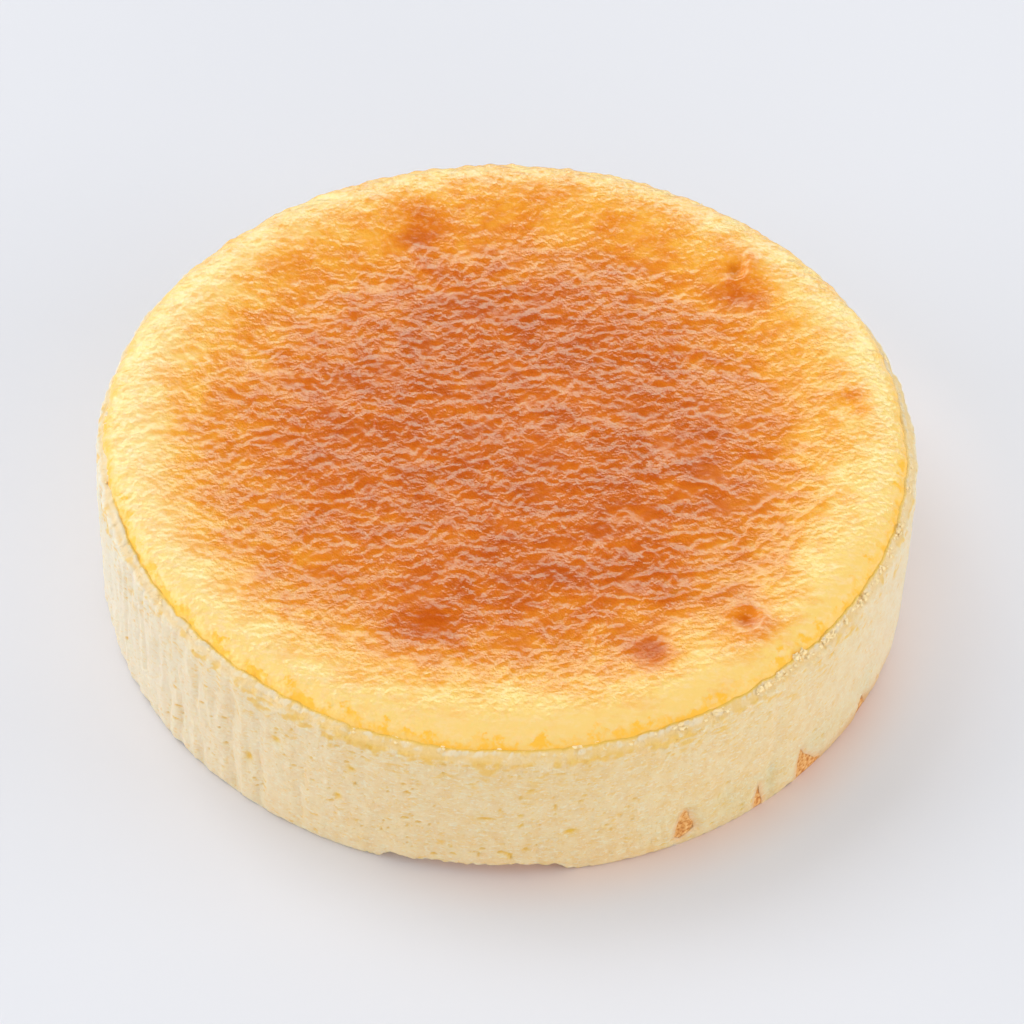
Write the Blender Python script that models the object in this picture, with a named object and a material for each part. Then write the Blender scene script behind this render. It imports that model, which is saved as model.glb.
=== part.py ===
"""A whole round baked cheesecake, about 15 cm across, on a thin sponge base.

Metres, +Z up. The origin is the middle of the flat underside. Angles are in degrees,
counterclockwise from +X as seen from above, so 270 is the front, at -Y.
"""

import math

import bmesh
import bpy
from mathutils import Vector, noise

# Outline: a cake turned out of a 15 cm round tin, a little out of round and lopsided.
WALL_RADIUS = 0.075
WALL_HEIGHT = 0.0316  # mean height of the crease where the skin meets the side
RADIUS_WAVES = ((0.0, 0.0), (0.0, 0.0003), (0.0004, 0.0030))  # shares of the radius
HEIGHT_WAVES = ((0.00006, 0.0), (0.00052, 0.00001), (-0.00018, -0.00051))

# Skin: a swollen rim round a slightly sunken, wrinkled middle.
CREASE_INSET = 0.0021  # from the wall in to the crease
RIM_WIDTH = 0.0055  # from the crease in to the rim's crest
RIM_RISE = 0.0032  # of the crest over the crease
RIM_SQUARENESS = 2.5  # exponent of the rim's outer quarter
BASIN_SLOPE = 0.019  # width of the slope from the crest to the flat middle
BASIN_DEPTH = 0.0020  # of the flat middle under the crest
SWELL_HEIGHT = 0.0005  # slow rise and fall of the middle
SWELL_PITCH = 0.030
WRINKLE_HEIGHT = 0.0006
WRINKLE_PITCH = 0.0075
WRINKLE_STRETCH = 1.5  # wrinkles are this much longer across than deep
WRINKLE_FADE = (0.008, 0.026)  # distance in from the crease over which they grow

# Blisters and dents: x, y, radius, rise of the middle, rise of the ring round it, stretch in y
BLISTERS = (
    (0.0426, 0.0436, 0.0065, -0.0012, 0.0005, 1.2),
    (0.0620, 0.0115, 0.0045, -0.0006, 0.0002, 1.0),
    (0.0427, -0.0422, 0.0058, -0.0006, 0.0006, 1.0),
    (0.0252, -0.0500, 0.0036, 0.0010, 0.0, 1.0),
    (-0.0125, -0.0440, 0.0058, 0.0008, 0.0, 1.0),
    (-0.0173, 0.0533, 0.0042, -0.0006, 0.0002, 1.7),
)

# Side: radius and height shares of each ring, from the crease down to the foot.
WALL_RINGS = (
    (0.9825, 1.006),
    (0.9925, 1.000),
    (0.9985, 0.975),
    (1.0, 0.86),
    (1.0, 0.70),
    (1.0, 0.54),
    (1.0, 0.38),
    (1.0, 0.23),
    (1.001, 0.09),
    (0.9985, 0.02),
    (0.9925, 0.0),
)
LEDGE_RINGS = 2  # of those rings, the ragged ledge where the tin's edge was
LEDGE_RAGGED = 0.0005
LEDGE_PITCH = 0.005
LEDGE_FLAKES = (19.1, 61.0, 108.2, 308.6, 316.0, 344.5, 352.6)  # angles of raised flakes
FLAKE_WIDTH = 0.0016
FLAKE_HEIGHT = 0.0008
RIPPLE_DEPTH = 0.0003  # upright ripples all round the side
RIPPLE_PITCH = 0.006
RIPPLE_STRETCH = 5.0  # ripples are this much taller than wide
CREASES = (220.6, 225.0, 231.2, 235.9, 242.5, 311.0)  # angles of the deeper upright creases
CREASE_DEPTHS = (0.0003, 0.0003, 0.0007, 0.0004, 0.0003, 0.0003)
CREASE_WIDTH = 0.0015

# Sponge base: its edge nearly reaches the side of the cake between two angles.
BASE_RADIUS = 0.0726
BASE_HEIGHT = 0.0100
BASE_BULGE = 0.0014
BASE_BULGE_ANGLES = (287.0, 342.0)
BASE_BULGE_RUN = 8.0  # degrees over which the bulge rises
BASE_SEGMENTS = 120
FIT_GAP = 0.0003  # between the base and the cake baked round it

# Windows in the side that show the base: angle, width at the foot, width at the top, lean
# of the top, lower height, upper height
WINDOWS = (
    (296.6, 0.0029, 0.0010, 0.0002, 0.0018, 0.0096),
    (309.0, 0.0019, 0.0006, -0.0002, -0.0020, 0.0065),
    (318.2, 0.0052, 0.0016, -0.0016, -0.0020, 0.0074),
    (332.6, 0.0024, 0.0008, 0.0002, -0.0020, 0.0042),
)
WINDOW_REACH = 0.0050  # of a window's cutter, across the side
# A stretch of the foot that stands a little off the ground
NOTCH_ANGLES = (255.5, 279.5)
NOTCH_HEIGHT = 0.0020

GRID_CELLS = 52
GRID_EASE = 1.15  # radians: crowds the grid's rings towards the rim
SMOOTH_LIMIT = math.radians(50)


def smooth_step(value):
    """0 below 0, 1 above 1, and an even ease between."""
    value = min(max(value, 0.0), 1.0)
    return value * value * (3 - 2 * value)


def waves(pairs, angle, share=1.0):
    """One, two and three waves round the cake, dying away towards the middle."""
    return sum(
        (cosine * math.cos(turns * angle) + sine * math.sin(turns * angle)) * share**turns
        for turns, (cosine, sine) in enumerate(pairs, 1)
    )


def outline(angle):
    """Radius of the side at an angle, before its ripples."""
    return WALL_RADIUS * (1 + waves(RADIUS_WAVES, angle))


def crease_radius(angle):
    return outline(angle) - CREASE_INSET


def rim_height(inset):
    """Height of the skin over the crease, at a distance in from the crease."""
    outer = max(0.0, 1 - inset / RIM_WIDTH)
    rise = RIM_RISE * (1 - outer**RIM_SQUARENESS) ** (1 / RIM_SQUARENESS)
    return rise - BASIN_DEPTH * smooth_step((inset - RIM_WIDTH) / BASIN_SLOPE)


def blister_height(x, y):
    height = 0.0
    for centre_x, centre_y, radius, middle, ring, stretch in BLISTERS:
        away = math.hypot(x - centre_x, (y - centre_y) / stretch) / radius
        height += middle * math.exp(-((away / 0.55) ** 2))
        height += ring * math.exp(-(((away - 1) / 0.4) ** 2))
    return height


def wrinkle_height(x, y, inset):
    """Slow swells and short wrinkles, which fade out towards the rim."""
    near, far = WRINKLE_FADE
    swell = noise.noise(Vector((x, y, 0.0)) / SWELL_PITCH)
    wrinkle = noise.noise(Vector((x / WRINKLE_STRETCH, y, 0.01)) / WRINKLE_PITCH)
    fade = smooth_step((inset - near) / (far - near))
    return fade * (SWELL_HEIGHT * swell + WRINKLE_HEIGHT * wrinkle)


def skin_point(x, y):
    """A point of the skin from a point of the unit disc."""
    share = math.hypot(x, y)
    angle = math.atan2(y, x)
    share = math.sin(share * GRID_EASE) / math.sin(GRID_EASE)
    radius = share * crease_radius(angle)
    inset = crease_radius(angle) - radius
    x = radius * math.cos(angle)
    y = radius * math.sin(angle)
    height = WALL_HEIGHT + waves(HEIGHT_WAVES, angle, share) + rim_height(inset)
    if inset > RIM_WIDTH / 2:
        height += blister_height(x, y) + wrinkle_height(x, y, inset)
    return Vector((x, y, height))


def turn_between(angle, place):
    """Distance round the side from a place given in degrees."""
    away = (math.degrees(angle) - place + 180) % 360 - 180
    return math.radians(away) * WALL_RADIUS


def side_relief(angle, height):
    """How far the side stands out from its outline: ripples and upright creases."""
    across = Vector((math.cos(angle), math.sin(angle), 0.0)) * WALL_RADIUS
    spot = (across + Vector((0.0, 0.0, height / RIPPLE_STRETCH))) / RIPPLE_PITCH
    relief = RIPPLE_DEPTH * noise.noise(spot)
    for place, depth in zip(CREASES, CREASE_DEPTHS):
        away = turn_between(angle, place) / CREASE_WIDTH
        relief -= depth * math.exp(-away * away)
    return relief


def ledge_relief(angle):
    """The ragged rise of the ledge at the top of the side, with its torn flakes."""
    across = Vector((math.cos(angle), math.sin(angle), 0.0)) * WALL_RADIUS
    rise = LEDGE_RAGGED * noise.noise(across / LEDGE_PITCH)
    for place in LEDGE_FLAKES:
        away = turn_between(angle, place) / FLAKE_WIDTH
        rise += FLAKE_HEIGHT * math.exp(-away * away)
    return rise


def side_point(ring, angle):
    radius_share, height_share = WALL_RINGS[ring]
    top = WALL_HEIGHT + waves(HEIGHT_WAVES, angle)
    height = height_share * top
    radius = radius_share * outline(angle)
    if ring < LEDGE_RINGS:
        height += ledge_relief(angle)
    elif 0 < height_share:
        radius += side_relief(angle, height)
    return Vector((radius * math.cos(angle), radius * math.sin(angle), height))


def disc_from_square(x, y):
    """Maps the square from -1 to 1 onto the unit disc, ring by ring."""
    if x == 0 and y == 0:
        return 0.0, 0.0
    if abs(x) >= abs(y):
        radius = x
        angle = math.pi / 4 * y / x
    else:
        radius = y
        angle = math.pi / 2 - math.pi / 4 * x / y
    return radius * math.cos(angle), radius * math.sin(angle)


def extrude_ring(mesh, edges, ring):
    """Draws a new ring of the side out of the open edge loop, and returns its edges."""
    made = bmesh.ops.extrude_edge_only(mesh, edges=edges)["geom"]
    for item in made:
        if isinstance(item, bmesh.types.BMVert):
            item.co = side_point(ring, math.atan2(item.co.y, item.co.x))
    return [item for item in made if isinstance(item, bmesh.types.BMEdge) and item.is_boundary]


def add_object(name, mesh, collection, material=None):
    data = bpy.data.meshes.new(name)
    bmesh.ops.recalc_face_normals(mesh, faces=mesh.faces)
    mesh.to_mesh(data)
    mesh.free()
    data.shade_smooth()
    data.set_sharp_from_angle(angle=SMOOTH_LIMIT)
    obj = bpy.data.objects.new(name, data)
    collection.objects.link(obj)
    if material:
        data.materials.append(material)
    return obj


def add_material(name, colour, roughness):
    material = bpy.data.materials.new(name)
    material.use_nodes = True
    shader = material.node_tree.nodes["Principled BSDF"]
    shader.inputs["Base Color"].default_value = (*colour, 1.0)
    shader.inputs["Roughness"].default_value = roughness
    shader.inputs["Metallic"].default_value = 0.0
    return material


def add_cheesecake(collection):
    """The whole cheese body: the skin as a round grid, then the side ring by ring."""
    mesh = bmesh.new()
    bmesh.ops.create_grid(mesh, x_segments=GRID_CELLS, y_segments=GRID_CELLS, size=1.0)
    for vert in mesh.verts:
        vert.co = skin_point(*disc_from_square(vert.co.x, vert.co.y))
    bmesh.ops.triangulate(mesh, faces=mesh.faces, quad_method="BEAUTY")
    edges = [edge for edge in mesh.edges if edge.is_boundary]
    for ring in range(len(WALL_RINGS)):
        edges = extrude_ring(mesh, edges, ring)
    bmesh.ops.holes_fill(mesh, edges=edges, sides=0)
    material = add_material("baked_cheese", (0.86, 0.55, 0.20), 0.55)
    return add_object("cheesecake", mesh, collection, material)


def base_radius(angle):
    """Radius of the sponge, which bulges towards the side on one stretch."""
    start, end = BASE_BULGE_ANGLES
    degrees = math.degrees(angle) % 360
    rise = smooth_step((degrees - start) / BASE_BULGE_RUN)
    fall = smooth_step((end - degrees) / BASE_BULGE_RUN)
    lopsided = outline(angle) / WALL_RADIUS
    return BASE_RADIUS * lopsided + BASE_BULGE * rise * fall


def base_shape(grow, bottom, top):
    """A disc in the outline of the sponge, drawn out from a plain cylinder."""
    mesh = bmesh.new()
    bmesh.ops.create_cone(
        mesh, cap_ends=True, segments=BASE_SEGMENTS, radius1=1.0, radius2=1.0, depth=2.0
    )
    for vert in mesh.verts:
        angle = math.atan2(vert.co.y, vert.co.x)
        radius = base_radius(angle) + grow
        height = top if vert.co.z > 0 else bottom
        vert.co = Vector((radius * math.cos(angle), radius * math.sin(angle), height))
    return mesh


def add_sponge_base(collection):
    material = add_material("sponge", (0.66, 0.36, 0.11), 0.8)
    return add_object("sponge_base", base_shape(0.0, 0.0, BASE_HEIGHT), collection, material)


def box_cutter(name, collection, angle, size, middle_height, top_share=1.0, lean=0.0):
    """A block across the side at an angle, whose top may be narrower and lean over."""
    mesh = bmesh.new()
    bmesh.ops.create_cube(mesh, size=1.0)
    for vert in mesh.verts:
        if vert.co.z > 0:
            vert.co.y *= top_share
        vert.co = Vector(a * b for a, b in zip(vert.co, size))
        if vert.co.z > 0:
            vert.co.y += lean
    obj = add_object(name, mesh, collection)
    turn = math.radians(angle)
    radius = outline(turn)
    obj.location = (radius * math.cos(turn), radius * math.sin(turn), middle_height)
    obj.rotation_euler = (0.0, 0.0, turn)
    return obj


def add_cutters(collection):
    """The recess that holds the sponge, the windows that show it and the raised foot."""
    below = -0.005
    recess = base_shape(FIT_GAP, below, BASE_HEIGHT + FIT_GAP)
    cutters = [add_object("recess_cutter", recess, collection)]
    for number, (angle, foot, top, lean, low, high) in enumerate(WINDOWS, 1):
        size = (WINDOW_REACH, foot, high - low)
        name = f"window_cutter_{number}"
        middle = (low + high) / 2
        cutters.append(box_cutter(name, collection, angle, size, middle, top / foot, lean))
    start, end = NOTCH_ANGLES
    long_side = 2 * WALL_RADIUS * math.sin(math.radians(end - start) / 2)
    size = (2 * WINDOW_REACH, long_side, NOTCH_HEIGHT - below)
    middle = (NOTCH_HEIGHT + below) / 2
    cutters.append(box_cutter("notch_cutter", collection, (start + end) / 2, size, middle))
    for cutter in cutters:
        cutter.hide_render = True
        cutter.display_type = "WIRE"


def cut(obj, cutters):
    """One exact Boolean that takes the whole collection of cutters out of the object."""
    modifier = obj.modifiers.new("cutters", "BOOLEAN")
    modifier.operation = "DIFFERENCE"
    modifier.solver = "EXACT"
    modifier.operand_type = "COLLECTION"
    modifier.collection = cutters


def build():
    for obj in list(bpy.data.objects):
        bpy.data.objects.remove(obj)
    cake = bpy.data.collections.new("baked_cheesecake")
    cutters = bpy.data.collections.new("cutters")
    for collection in (cake, cutters):
        bpy.context.scene.collection.children.link(collection)
    add_sponge_base(cake)
    body = add_cheesecake(cake)
    add_cutters(cutters)
    cut(body, cutters)


build()
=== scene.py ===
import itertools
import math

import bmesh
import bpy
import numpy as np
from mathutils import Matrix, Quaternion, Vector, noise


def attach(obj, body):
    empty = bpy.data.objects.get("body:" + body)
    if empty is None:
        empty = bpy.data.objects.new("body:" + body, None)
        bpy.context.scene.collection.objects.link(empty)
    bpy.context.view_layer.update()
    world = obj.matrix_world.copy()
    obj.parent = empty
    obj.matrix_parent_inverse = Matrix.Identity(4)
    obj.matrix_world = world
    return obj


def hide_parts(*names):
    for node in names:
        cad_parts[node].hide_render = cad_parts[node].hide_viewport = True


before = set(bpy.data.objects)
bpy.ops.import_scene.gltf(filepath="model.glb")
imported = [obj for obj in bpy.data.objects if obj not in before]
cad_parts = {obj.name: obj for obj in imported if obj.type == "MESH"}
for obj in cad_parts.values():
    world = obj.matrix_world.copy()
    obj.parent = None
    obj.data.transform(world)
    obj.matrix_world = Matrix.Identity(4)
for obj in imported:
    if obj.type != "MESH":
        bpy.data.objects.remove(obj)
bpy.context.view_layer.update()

# A whole round baked cheesecake on a thin sponge base: its browned, wrinkled skin, its pale
# crumbly side and the crumbs along its torn edge.
# The cake's lengths are in millimetres up to add_piece(), which turns them into metres. Arrays
# named angle are in radians and all other angles in degrees, counterclockwise from +X as seen
# from above, so 270 is the front, at -Y. An inset is a distance in from the crease, where the
# skin meets the side.

METRES = 0.001

# ---------------- sizes of the cake

WALL_RADIUS = 75.0
WALL_HEIGHT = 31.6  # mean height of the crease where the skin meets the side
DEGREE_ARC = math.radians(WALL_RADIUS)  # length of one degree round the wall
# One, two and three waves round the cake, each as its cosine and sine part
RADIUS_WAVES = ((0.0, 0.0), (0.0, 0.0003), (0.0004, 0.0030))  # shares of the radius
HEIGHT_WAVES = ((0.06, 0.0), (0.52, 0.01), (-0.18, -0.51))
CREASE_INSET = 2.1  # from the wall in to the crease
RIM_WIDTH = 5.5  # from the crease in to the rim's crest
RIM_RISE = 3.2
RIM_SQUARENESS = 2.2
BASIN_SLOPE = 19.0  # from the rim's crest in to the bottom of the basin
BASIN_DEPTH = 2.0
# Layered noises are given as height, pitch across, pitch upwards and seed
EDGE_WANDER = ((0.34, 4.6, 1, 5), (0.22, 1.9, 1, 6))

BASE_RADIUS = 72.6
BASE_HEIGHT = 10.0
BASE_BULGE = 1.4
BASE_BULGE_ANGLES = (287.0, 342.0)
BASE_BULGE_RUN = 8.0  # degrees over which the bulge rises
FIT_GAP = 0.3  # between the sponge and the side baked round it


def ease(value, start, end):
    """0 at the start and before it, 1 at the end and after it, and an even ease between."""
    share = np.clip((value - start) / (end - start), 0.0, 1.0)
    return share * share * (3 - 2 * share)


def bell(away):
    """1 at 0, dying away on both sides."""
    return np.exp(-away * away)


def waves(pairs, angle, share=1.0):
    """One, two and three waves round the cake, dying away towards the middle."""
    return sum(
        (cosine * np.cos(turns * angle) + sine * np.sin(turns * angle)) * share**turns
        for turns, (cosine, sine) in enumerate(pairs, 1)
    )


def outline(angle):
    """Radius of the side at an angle, before its relief."""
    return WALL_RADIUS * (1 + waves(RADIUS_WAVES, angle))


def crease_height(angle, share=1.0):
    """Height of the crease, carried on inwards over shares of the radius."""
    return WALL_HEIGHT + waves(HEIGHT_WAVES, angle, share)


def base_radius(angle):
    """Radius of the sponge, which bulges towards the side on one stretch."""
    start, end = BASE_BULGE_ANGLES
    degrees = np.degrees(angle) % 360
    rise = ease(degrees, start, start + BASE_BULGE_RUN)
    fall = ease(degrees, end, end - BASE_BULGE_RUN)
    return BASE_RADIUS * outline(angle) / WALL_RADIUS + BASE_BULGE * rise * fall


def edge_wander(angle):
    """How far the torn edge between skin and side strays outwards from its mean line."""
    return noise_layers(EDGE_WANDER, *wall_place(angle))


def wall_place(angle):
    """x and y on the wall, where the noise of the side is read."""
    return np.cos(angle) * WALL_RADIUS, np.sin(angle) * WALL_RADIUS


def degrees_from(place, angle):
    """Turn from a place given in degrees, from -180 to 180 degrees."""
    return (np.degrees(angle) - place + 180) % 360 - 180


def arc_from(place, angle):
    """Distance round the wall from a place given in degrees."""
    return degrees_from(place, angle) * DEGREE_ARC


def beside(place, reach, angle):
    """1 at a place round the wall given in degrees, dying away over a reach in millimetres."""
    return bell(arc_from(place, angle) / reach)


def on_rings(radius, angle, height):
    """Points at the radii, angles and heights."""
    return np.stack((radius * np.cos(angle), radius * np.sin(angle), height), -1)


def band_faces(low, high, kept=slice(None)):
    """Faces between two rings of point numbers, in the columns that are kept."""
    return np.stack((low, np.roll(low, -1), np.roll(high, -1), high), 1)[kept].tolist()


def oval(x, y, centre_x, centre_y, reach_x, reach_y):
    """1 in the middle of an oval patch, dying away beyond its reach."""
    return bell(np.hypot((x - centre_x) / reach_x, (y - centre_y) / reach_y))


def nearness(x, y, spots):
    """1 in the middle of each spot, given as x, y and reach, and 0 away from them all."""
    return np.max([oval(x, y, *place, reach, reach) for *place, reach in spots], axis=0)


def nearest_on_line(x, y, corners):
    """Distance from every place to a line through the corners, and the nearest place on it."""
    nearest = np.full((3, *x.shape), np.inf)
    for (start_x, start_y), (end_x, end_y) in itertools.pairwise(corners):
        run_x, run_y = end_x - start_x, end_y - start_y
        share = ((x - start_x) * run_x + (y - start_y) * run_y) / (run_x**2 + run_y**2)
        share = np.clip(share, 0, 1)
        foot_x, foot_y = start_x + share * run_x, start_y + share * run_y
        found = np.stack((np.hypot(x - foot_x, y - foot_y), foot_x, foot_y))
        nearest = np.where(found[0] < nearest[0], found, nearest)
    return nearest


# ---------------- noise

# Directions to the middles of a cube's edges
GRADIENTS = np.array(
    [axis for axis in itertools.product((-1.0, 0.0, 1.0), repeat=3) if sum(map(abs, axis)) == 2]
)


def scrambled(cells, seed):
    """A repeatable whole number for each lattice cell."""
    mixed = cells[:, 0] * 73856093 ^ cells[:, 1] * 19349663 ^ cells[:, 2] * 83492791
    mixed = (mixed + seed * 9973) * 1274126177
    mixed = (mixed ^ (mixed >> 13)) * 668265263
    return (mixed ^ (mixed >> 16)) & 0x7FFFFFFF


def lattice_noise(x, y, z=0.5, seed=0):
    """Smooth gradient noise on a lattice of unit cells, from about -1 to 1."""
    x, y, z = np.broadcast_arrays(x, y, z)
    points = np.stack((x.ravel(), y.ravel(), z.ravel()), 1)
    cells = np.floor(points).astype(np.int64)
    part = points - cells
    blend = part**3 * (part * (part * 6 - 15) + 10)
    total = np.zeros(len(points))
    for corner in itertools.product((0, 1), repeat=3):
        corner = np.array(corner)
        gradient = GRADIENTS[scrambled(cells + corner, seed) % len(GRADIENTS)]
        weight = np.where(corner, blend, 1 - blend).prod(1)
        total += weight * ((part - corner) * gradient).sum(1)
    return total.reshape(x.shape)


def noise_layers(layers, x, y, z=0.5):
    """Sum of noises, each given as its height, its pitch across and upwards, and its seed."""
    return sum(
        height * lattice_noise(x / wide, y / wide, z / tall, seed)
        for height, wide, tall, seed in layers
    )


def waver(x, y, size, pitch, seed):
    """How far every place strays in x and in y."""
    return [size * lattice_noise(x / pitch, y / pitch, seed=seed + axis) for axis in (0, 1)]


def blender_noise(points):
    """Blender's own noise at an array of points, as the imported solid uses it."""
    return np.array([noise.noise(Vector(point)) for point in points])


# ---------------- pieces


def pad_marks(marks, count, mode):
    """Marks carried on over the hidden points, with 0 or with the last value."""
    return {
        mark: np.pad(values.ravel(), (0, count - values.size), mode)
        for mark, values in marks.items()
    }


def add_piece(name, points, faces, material, marks, stands_for=()):
    """Makes a smooth mesh of the points, gives it its marks and seats it on the frame."""
    data = bpy.data.meshes.new(name)
    data.from_pydata((points * METRES).tolist(), [], faces)
    data.update()
    for mark, values in marks.items():
        layer = data.attributes.new(mark, "FLOAT", "POINT")
        layer.data.foreach_set("value", values.astype(np.float32))
    data.shade_smooth()
    data.materials.append(material)
    piece = bpy.data.objects.new(name, data)
    bpy.context.scene.collection.objects.link(piece)
    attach(piece, "root")
    if stands_for:
        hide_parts(*stands_for)
    return piece


# ---------------- skin

SKIN_RINGS = 176
BACK_OVERHANG = 1.1  # how much further out the skin reaches over the ledge at the back
OVERHANG_REACH = 4.0  # inset at which the skin no longer overhangs
SKIN_TUCK = ((0.7, 0.1), (1.6, 0.3), (5.0, 0.6))  # drop and inset of the rings behind the ledge
SWELL_HEIGHT = 0.5
SWELL_PITCH = 30.0
WRINKLE_HEIGHT = 0.25
WRINKLE_PITCH = 7.5
WRINKLE_STRETCH = 1.5
WRINKLE_FADE = (8.0, 26.0)  # insets between which the swells and wrinkles grow
FINE_FOLDS = ((0.14, 3.7, 3.3), (0.34, 1.4, 1.55))  # height, pitch along and pitch across
FOLD_SLANT = 0.12
FOLD_RADIUS = 60.0  # where the folds along the rim have their true length
RIM_BUMPS = ((0.3, 3.1, 1, 35), (0.22, 1.3, 1, 36))

# Blisters and dents: x, y, radius, rise of the middle, rise of the ring round it, stretch in y
BLISTERS = (
    (42.2, 45.1, 3.0, -0.9, 0.1, 1.2),
    (43.4, 38.2, 4.4, -0.4, 0.0, 1.0),
    (62.0, 9.1, 4.2, -0.4, 0.15, 1.0),
    (42.8, -44.0, 2.8, -0.5, 0.2, 1.0),
    (45.3, -48.6, 3.4, -0.1, 0.0, 0.8),
    (25.9, -49.9, 3.4, -0.1, 0.0, 1.0),
    (-13.0, -45.3, 5.4, 0.15, 0.0, 1.0),
    (-19.2, 52.6, 3.6, -0.3, 0.0, 1.7),
    (17.4, -68.8, 1.1, 0.4, 0.0, 1.0),
    (-64.8, 14.4, 0.9, 0.3, 0.0, 0.6),
)
# Single long folds: height, half width, then the places that each one runs through
FOLDS = (
    (0.30, 0.6, (18.1, -34.2), (20.7, -32.9), (22.8, -30.9), (24.4, -28.4)),
    (0.30, 0.8, (18.7, -31.3), (21.0, -30.5), (23.2, -30.6)),
    (0.28, 0.5, (17.2, -38.5), (24.3, -39.1), (28.7, -38.7), (32.2, -37.1), (34.5, -36.3)),
    (0.25, 0.5, (24.6, -27.7), (27.8, -26.8), (29.2, -26.0), (30.8, -26.7)),
    (0.25, 0.5, (26.9, -24.5), (29.2, -23.4), (33.2, -22.7), (36.7, -22.3), (38.9, -21.5)),
    (0.25, 0.5, (29.6, -29.1), (31.3, -28.1), (33.3, -26.1), (35.8, -24.5), (38.5, -23.4)),
    (0.25, 0.5, (24.2, -32.7), (27.8, -32.1), (33.1, -32.1), (37.6, -30.9)),
    (0.25, 0.5, (34.8, -38.6), (38.4, -37.3), (41.1, -35.5), (43.4, -34.0)),
    (0.30, 0.6, (39.4, -25.3), (42.1, -23.8), (43.5, -21.7), (44.5, -19.0), (45.8, -17.8)),
    (0.28, 0.5, (41.1, -27.9), (43.8, -26.6), (46.6, -24.3), (48.4, -22.5), (49.7, -20.5)),
    (0.28, 0.6, (45.2, -16.8), (46.7, -14.5), (48.7, -13.0)),
    (0.25, 0.6, (51.2, -13.6), (53.1, -11.8), (54.9, -10.4)),
    (0.30, 0.7, (52.8, -18.9), (55.1, -17.1), (57.0, -14.8), (59.6, -12.9)),
    (0.25, 0.6, (49.6, -31.6), (49.9, -28.4), (51.2, -25.7), (52.8, -23.3), (53.6, -19.8)),
    (0.25, 0.6, (47.9, -35.4), (49.8, -33.2), (50.2, -30.1)),
    (0.25, 0.5, (31.9, -10.0), (35.0, -9.9), (38.3, -10.7), (39.7, -12.1)),
    (0.25, 0.5, (26.9, -8.5), (28.5, -6.7), (28.1, -5.2)),
    (0.22, 0.5, (29.2, -41.5), (33.1, -40.3), (35.7, -39.3)),
    (0.5, 1.2, (45.2, 48.0), (45.0, 44.7), (44.2, 42.4), (42.4, 41.2), (40.8, 41.8)),
    (0.30, 0.9, (39.4, -41.8), (40.8, -40.5), (42.9, -40.3), (45.2, -41.6), (46.6, -43.9), (45.6, -47.0)),
)
# Calm, smooth patches between the wrinkles: x, y, reach
CALM_PATCHES = (
    (48.2, -11.5, 2.6), (45.8, -14.3, 2.0), (33.2, -11.5, 2.2), (39.5, -16.1, 2.5),
    (37.2, -6.8, 2.6), (28.7, -1.2, 2.8), (21.6, -33.1, 2.0), (24.2, -18.5, 2.4),
    (42.8, -44.2, 3.0), (43.2, 42.2, 5.0), (-13.0, -45.3, 3.6), (-19.2, 52.6, 3.6),
)
# Dark spots, which shine less than the skin round them: x, y, reach
DRY_SPOTS = (
    (26.3, -51.0, 3.8), (-12.6, -45.0, 3.6), (42.8, -43.6, 3.0), (41.8, 44.6, 2.8),
    (64.0, 9.0, 3.0),
)

BROWN_REACH = ((-0.02, -0.01), (-0.015, 0.025))  # waves of the browned patch's outline
BROWN_WANDER = ((1.8, 12.0, 1, 3), (1.2, 4.5, 1, 4))
BROWN_TILT = (0.01, 0.13)  # the rim is browner to the right and at the back
BROWN_FOLDS = 0.3  # how much browner the folds' crests are, for each millimetre of height
# Radius and how far the skin has browned there
BROWN_FALL = (
    (0.0, 0.88), (25.0, 0.84), (35.0, 0.80), (45.0, 0.64), (55.0, 0.40), (62.0, 0.20),
    (69.0, 0.03), (76.0, -0.08),
)
# Darker and paler patches: x, y, reach in x, reach in y, change of browning
BROWN_PATCHES = (
    (26.6, -51.0, 4.5, 5.3, 0.50),
    (26.4, -51.3, 2.6, 3.0, 0.34),
    (-13.0, -45.3, 6.0, 4.6, 0.36),
    (-18.4, 53.4, 4.0, 6.6, 0.38),
    (41.8, 45.2, 2.4, 2.4, 0.26),
    (43.2, 38.0, 5.0, 3.8, 0.32),
    (47.2, 41.9, 3.0, 3.6, 0.14),
    (42.8, -43.8, 2.8, 2.4, 0.30),
    (43.3, -45.4, 6.5, 5.5, 0.24),
    (47.0, -46.0, 9.0, 8.0, 0.12),
    (46.3, -48.6, 5.0, 3.2, 0.03),
    (63.4, 11.6, 2.6, 2.2, 0.34),
    (64.6, 7.5, 2.4, 2.0, 0.28),
    (59.2, 10.9, 4.0, 4.0, 0.12),
    (30.0, -36.0, 12.0, 5.0, 0.16),
    (5.0, -33.0, 16.0, 6.0, 0.08),
    (8.0, 27.0, 16.0, 6.0, 0.07),
    (-2.0, -56.0, 9.0, 4.0, -0.08),
    (8.0, 10.0, 12.0, 8.0, -0.06),
    (40.0, -4.0, 7.0, 12.0, 0.10),
    (-22.0, -26.0, 16.0, 13.0, -0.09),
    (47.0, -32.0, 9.0, 9.0, 0.10),
    (-60.0, -14.0, 9.0, 16.0, 0.05),
    (29.0, -60.0, 19.0, 7.0, 0.14),
    (0.0, 62.0, 24.0, 6.0, 0.07),
    (-45.0, 47.0, 11.0, 9.0, 0.06),
    (-15.0, 38.0, 14.0, 12.0, 0.05),
    (44.0, 28.0, 8.0, 8.0, -0.06),
    (-15.8, -15.0, 0.55, 0.55, 0.70),
)
PALE_FLAKE = (-64.8, 14.4, 1.5, 0.5)  # x, y, reach in x, reach in y


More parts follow.
